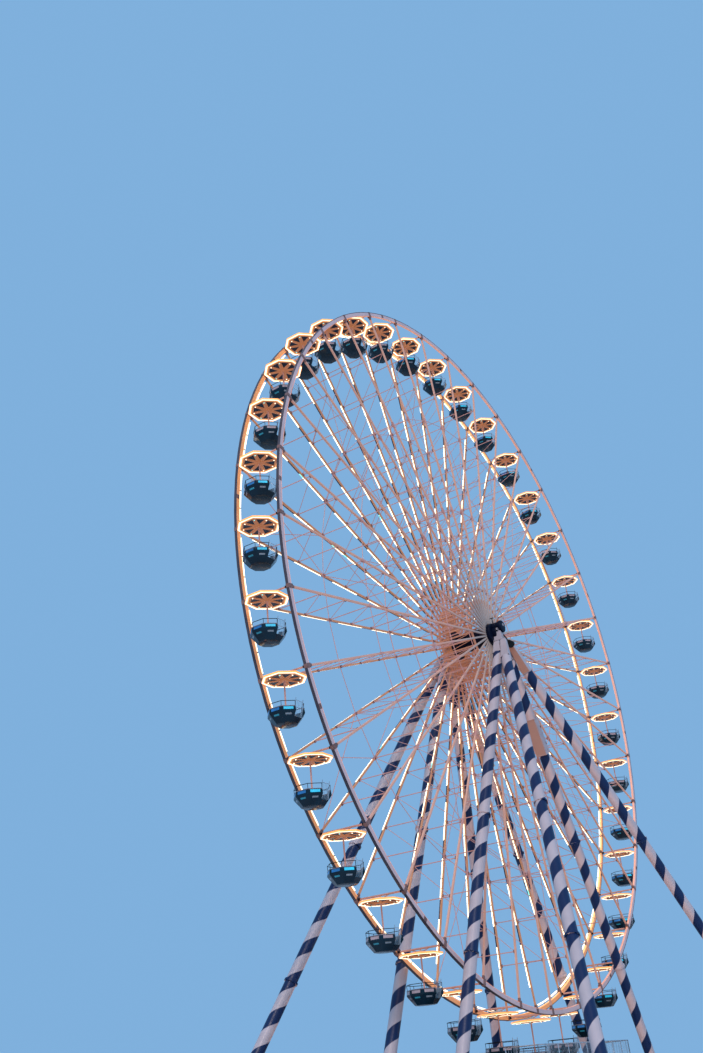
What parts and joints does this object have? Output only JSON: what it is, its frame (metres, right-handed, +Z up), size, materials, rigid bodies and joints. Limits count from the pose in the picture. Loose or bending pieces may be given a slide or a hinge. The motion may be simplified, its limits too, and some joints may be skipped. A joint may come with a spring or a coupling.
{
  "type": "ferris wheel, 1:2 scale model",
  "caption": "Scale model of a fairground giant wheel: lattice wheel with two rims between splayed striped legs, and open round cabins that hang level as it turns.",
  "frame": {"origin": "on the ground under the middle of the axle", "axes": "+X along the wheel's plane, +Y along the axle towards the far side, +Z up"},
  "size_m": [24.1624, 10.9, 25.225],
  "materials": {
    "lattice_paint": "semi-gloss warm paint",
    "rim_paint": "semi-gloss paint",
    "hub_paint": "gloss navy paint",
    "head_white": "semi-gloss white paint",
    "leg_stripes": "white paint with navy spiral stripes",
    "cabin_shell": "gloss dark blue glass fibre",
    "canopy_panel": "satin tan glass fibre",
    "light_tube": "lit warm white tube",
    "seat_pad": "satin moulded seat",
    "rail_steel": "brushed",
    "black_fitting": "matt black",
    "ground_steel": "matt grey paint",
    "deck_board": "worn boards"
  },
  "bodies": {
    "support": {"near_bearing_head": "head_white", "near_frame_leg_left": "leg_stripes", "near_frame_leg_right": "leg_stripes", "near_outrigger_left": "leg_stripes", "near_outrigger_right": "leg_stripes", "far_bearing_head": "head_white", "far_frame_leg_left": "leg_stripes", "far_frame_leg_right": "leg_stripes", "far_outrigger_left": "leg_stripes", "far_outrigger_right": "leg_stripes", "left_raft_beam": "ground_steel", "right_raft_beam": "ground_steel", "near_outer_sill": "ground_steel", "near_inner_sill": "ground_steel", "far_inner_sill": "ground_steel", "far_outer_sill": "ground_steel", "boarding_platform": "deck_board", "entrance_steps": "deck_board", "exit_steps": "deck_board"},
    "wheel": {"wheel_near_side": "lattice_paint", "wheel_far_side": "lattice_paint", "hub_brace_ring": "lattice_paint", "hub_drum": "hub_paint"},
    "cabin_01_body": {"cabin_01": "cabin_shell"},
    "cabin_02_body": {"cabin_02": "cabin_shell"},
    "cabin_03_body": {"cabin_03": "cabin_shell"},
    "cabin_04_body": {"cabin_04": "cabin_shell"},
    "cabin_05_body": {"cabin_05": "cabin_shell"},
    "cabin_06_body": {"cabin_06": "cabin_shell"},
    "cabin_07_body": {"cabin_07": "cabin_shell"},
    "cabin_08_body": {"cabin_08": "cabin_shell"},
    "cabin_09_body": {"cabin_09": "cabin_shell"},
    "cabin_10_body": {"cabin_10": "cabin_shell"},
    "cabin_11_body": {"cabin_11": "cabin_shell"},
    "cabin_12_body": {"cabin_12": "cabin_shell"},
    "cabin_13_body": {"cabin_13": "cabin_shell"},
    "cabin_14_body": {"cabin_14": "cabin_shell"},
    "cabin_15_body": {"cabin_15": "cabin_shell"},
    "cabin_16_body": {"cabin_16": "cabin_shell"},
    "cabin_17_body": {"cabin_17": "cabin_shell"},
    "cabin_18_body": {"cabin_18": "cabin_shell"},
    "cabin_19_body": {"cabin_19": "cabin_shell"},
    "cabin_20_body": {"cabin_20": "cabin_shell"},
    "cabin_21_body": {"cabin_21": "cabin_shell"},
    "cabin_22_body": {"cabin_22": "cabin_shell"},
    "cabin_23_body": {"cabin_23": "cabin_shell"},
    "cabin_24_body": {"cabin_24": "cabin_shell"},
    "cabin_25_body": {"cabin_25": "cabin_shell"},
    "cabin_26_body": {"cabin_26": "cabin_shell"},
    "cabin_27_body": {"cabin_27": "cabin_shell"},
    "cabin_28_body": {"cabin_28": "cabin_shell"},
    "cabin_29_body": {"cabin_29": "cabin_shell"},
    "cabin_30_body": {"cabin_30": "cabin_shell"},
    "cabin_31_body": {"cabin_31": "cabin_shell"},
    "cabin_32_body": {"cabin_32": "cabin_shell"},
    "cabin_33_body": {"cabin_33": "cabin_shell"},
    "cabin_34_body": {"cabin_34": "cabin_shell"},
    "cabin_35_body": {"cabin_35": "cabin_shell"},
    "cabin_36_body": {"cabin_36": "cabin_shell"}
  },
  "joints": [
    {"name": "wheel_spin", "type": "hinge", "parent": "support", "child": "wheel", "pos_m": [0, 0, 13.6], "axis": [0, 1, 0], "continuous": true},
    {"name": "cabin_01_swing", "type": "hinge", "parent": "wheel", "child": "cabin_01_body", "pos_m": [11.55, 0, 13.6], "axis": [0, 1, 0], "continuous": true},
    {"name": "cabin_02_swing", "type": "hinge", "parent": "wheel", "child": "cabin_02_body", "pos_m": [11.37453, 0, 15.60564], "axis": [0, 1, 0], "continuous": true},
    {"name": "cabin_03_swing", "type": "hinge", "parent": "wheel", "child": "cabin_03_body", "pos_m": [10.85345, 0, 17.55033], "axis": [0, 1, 0], "continuous": true},
    {"name": "cabin_04_swing", "type": "hinge", "parent": "wheel", "child": "cabin_04_body", "pos_m": [10.00259, 0, 19.375], "axis": [0, 1, 0], "continuous": true},
    {"name": "cabin_05_swing", "type": "hinge", "parent": "wheel", "child": "cabin_05_body", "pos_m": [8.84781, 0, 21.0242], "axis": [0, 1, 0], "continuous": true},
    {"name": "cabin_06_swing", "type": "hinge", "parent": "wheel", "child": "cabin_06_body", "pos_m": [7.4242, 0, 22.44781], "axis": [0, 1, 0], "continuous": true},
    {"name": "cabin_07_swing", "type": "hinge", "parent": "wheel", "child": "cabin_07_body", "pos_m": [5.775, 0, 23.60259], "axis": [0, 1, 0], "continuous": true},
    {"name": "cabin_08_swing", "type": "hinge", "parent": "wheel", "child": "cabin_08_body", "pos_m": [3.95033, 0, 24.45345], "axis": [0, 1, 0], "continuous": true},
    {"name": "cabin_09_swing", "type": "hinge", "parent": "wheel", "child": "cabin_09_body", "pos_m": [2.00564, 0, 24.97453], "axis": [0, 1, 0], "continuous": true},
    {"name": "cabin_10_swing", "type": "hinge", "parent": "wheel", "child": "cabin_10_body", "pos_m": [0, 0, 25.15], "axis": [0, 1, 0], "continuous": true},
    {"name": "cabin_11_swing", "type": "hinge", "parent": "wheel", "child": "cabin_11_body", "pos_m": [-2.00564, 0, 24.97453], "axis": [0, 1, 0], "continuous": true},
    {"name": "cabin_12_swing", "type": "hinge", "parent": "wheel", "child": "cabin_12_body", "pos_m": [-3.95033, 0, 24.45345], "axis": [0, 1, 0], "continuous": true},
    {"name": "cabin_13_swing", "type": "hinge", "parent": "wheel", "child": "cabin_13_body", "pos_m": [-5.775, 0, 23.60259], "axis": [0, 1, 0], "continuous": true},
    {"name": "cabin_14_swing", "type": "hinge", "parent": "wheel", "child": "cabin_14_body", "pos_m": [-7.4242, 0, 22.44781], "axis": [0, 1, 0], "continuous": true},
    {"name": "cabin_15_swing", "type": "hinge", "parent": "wheel", "child": "cabin_15_body", "pos_m": [-8.84781, 0, 21.0242], "axis": [0, 1, 0], "continuous": true},
    {"name": "cabin_16_swing", "type": "hinge", "parent": "wheel", "child": "cabin_16_body", "pos_m": [-10.00259, 0, 19.375], "axis": [0, 1, 0], "continuous": true},
    {"name": "cabin_17_swing", "type": "hinge", "parent": "wheel", "child": "cabin_17_body", "pos_m": [-10.85345, 0, 17.55033], "axis": [0, 1, 0], "continuous": true},
    {"name": "cabin_18_swing", "type": "hinge", "parent": "wheel", "child": "cabin_18_body", "pos_m": [-11.37453, 0, 15.60564], "axis": [0, 1, 0], "continuous": true},
    {"name": "cabin_19_swing", "type": "hinge", "parent": "wheel", "child": "cabin_19_body", "pos_m": [-11.55, 0, 13.6], "axis": [0, 1, 0], "continuous": true},
    {"name": "cabin_20_swing", "type": "hinge", "parent": "wheel", "child": "cabin_20_body", "pos_m": [-11.37453, 0, 11.59436], "axis": [0, 1, 0], "continuous": true},
    {"name": "cabin_21_swing", "type": "hinge", "parent": "wheel", "child": "cabin_21_body", "pos_m": [-10.85345, 0, 9.64967], "axis": [0, 1, 0], "continuous": true},
    {"name": "cabin_22_swing", "type": "hinge", "parent": "wheel", "child": "cabin_22_body", "pos_m": [-10.00259, 0, 7.825], "axis": [0, 1, 0], "continuous": true},
    {"name": "cabin_23_swing", "type": "hinge", "parent": "wheel", "child": "cabin_23_body", "pos_m": [-8.84781, 0, 6.1758], "axis": [0, 1, 0], "continuous": true},
    {"name": "cabin_24_swing", "type": "hinge", "parent": "wheel", "child": "cabin_24_body", "pos_m": [-7.4242, 0, 4.75219], "axis": [0, 1, 0], "continuous": true},
    {"name": "cabin_25_swing", "type": "hinge", "parent": "wheel", "child": "cabin_25_body", "pos_m": [-5.775, 0, 3.59741], "axis": [0, 1, 0], "continuous": true},
    {"name": "cabin_26_swing", "type": "hinge", "parent": "wheel", "child": "cabin_26_body", "pos_m": [-3.95033, 0, 2.74655], "axis": [0, 1, 0], "continuous": true},
    {"name": "cabin_27_swing", "type": "hinge", "parent": "wheel", "child": "cabin_27_body", "pos_m": [-2.00564, 0, 2.22547], "axis": [0, 1, 0], "continuous": true},
    {"name": "cabin_28_swing", "type": "hinge", "parent": "wheel", "child": "cabin_28_body", "pos_m": [0, 0, 2.05], "axis": [0, 1, 0], "continuous": true},
    {"name": "cabin_29_swing", "type": "hinge", "parent": "wheel", "child": "cabin_29_body", "pos_m": [2.00564, 0, 2.22547], "axis": [0, 1, 0], "continuous": true},
    {"name": "cabin_30_swing", "type": "hinge", "parent": "wheel", "child": "cabin_30_body", "pos_m": [3.95033, 0, 2.74655], "axis": [0, 1, 0], "continuous": true},
    {"name": "cabin_31_swing", "type": "hinge", "parent": "wheel", "child": "cabin_31_body", "pos_m": [5.775, 0, 3.59741], "axis": [0, 1, 0], "continuous": true},
    {"name": "cabin_32_swing", "type": "hinge", "parent": "wheel", "child": "cabin_32_body", "pos_m": [7.4242, 0, 4.75219], "axis": [0, 1, 0], "continuous": true},
    {"name": "cabin_33_swing", "type": "hinge", "parent": "wheel", "child": "cabin_33_body", "pos_m": [8.84781, 0, 6.1758], "axis": [0, 1, 0], "continuous": true},
    {"name": "cabin_34_swing", "type": "hinge", "parent": "wheel", "child": "cabin_34_body", "pos_m": [10.00259, 0, 7.825], "axis": [0, 1, 0], "continuous": true},
    {"name": "cabin_35_swing", "type": "hinge", "parent": "wheel", "child": "cabin_35_body", "pos_m": [10.85345, 0, 9.64967], "axis": [0, 1, 0], "continuous": true},
    {"name": "cabin_36_swing", "type": "hinge", "parent": "wheel", "child": "cabin_36_body", "pos_m": [11.37453, 0, 11.59436], "axis": [0, 1, 0], "continuous": true}
  ],
  "couplings": [
    {"joint": "cabin_01_swing", "follows": "wheel_spin", "ratio": -1},
    {"joint": "cabin_02_swing", "follows": "wheel_spin", "ratio": -1},
    {"joint": "cabin_03_swing", "follows": "wheel_spin", "ratio": -1},
    {"joint": "cabin_04_swing", "follows": "wheel_spin", "ratio": -1},
    {"joint": "cabin_05_swing", "follows": "wheel_spin", "ratio": -1},
    {"joint": "cabin_06_swing", "follows": "wheel_spin", "ratio": -1},
    {"joint": "cabin_07_swing", "follows": "wheel_spin", "ratio": -1},
    {"joint": "cabin_08_swing", "follows": "wheel_spin", "ratio": -1},
    {"joint": "cabin_09_swing", "follows": "wheel_spin", "ratio": -1},
    {"joint": "cabin_10_swing", "follows": "wheel_spin", "ratio": -1},
    {"joint": "cabin_11_swing", "follows": "wheel_spin", "ratio": -1},
    {"joint": "cabin_12_swing", "follows": "wheel_spin", "ratio": -1},
    {"joint": "cabin_13_swing", "follows": "wheel_spin", "ratio": -1},
    {"joint": "cabin_14_swing", "follows": "wheel_spin", "ratio": -1},
    {"joint": "cabin_15_swing", "follows": "wheel_spin", "ratio": -1},
    {"joint": "cabin_16_swing", "follows": "wheel_spin", "ratio": -1},
    {"joint": "cabin_17_swing", "follows": "wheel_spin", "ratio": -1},
    {"joint": "cabin_18_swing", "follows": "wheel_spin", "ratio": -1},
    {"joint": "cabin_19_swing", "follows": "wheel_spin", "ratio": -1},
    {"joint": "cabin_20_swing", "follows": "wheel_spin", "ratio": -1},
    {"joint": "cabin_21_swing", "follows": "wheel_spin", "ratio": -1},
    {"joint": "cabin_22_swing", "follows": "wheel_spin", "ratio": -1},
    {"joint": "cabin_23_swing", "follows": "wheel_spin", "ratio": -1},
    {"joint": "cabin_24_swing", "follows": "wheel_spin", "ratio": -1},
    {"joint": "cabin_25_swing", "follows": "wheel_spin", "ratio": -1},
    {"joint": "cabin_26_swing", "follows": "wheel_spin", "ratio": -1},
    {"joint": "cabin_27_swing", "follows": "wheel_spin", "ratio": -1},
    {"joint": "cabin_28_swing", "follows": "wheel_spin", "ratio": -1},
    {"joint": "cabin_29_swing", "follows": "wheel_spin", "ratio": -1},
    {"joint": "cabin_30_swing", "follows": "wheel_spin", "ratio": -1},
    {"joint": "cabin_31_swing", "follows": "wheel_spin", "ratio": -1},
    {"joint": "cabin_32_swing", "follows": "wheel_spin", "ratio": -1},
    {"joint": "cabin_33_swing", "follows": "wheel_spin", "ratio": -1},
    {"joint": "cabin_34_swing", "follows": "wheel_spin", "ratio": -1},
    {"joint": "cabin_35_swing", "follows": "wheel_spin", "ratio": -1},
    {"joint": "cabin_36_swing", "follows": "wheel_spin", "ratio": -1}
  ]
}
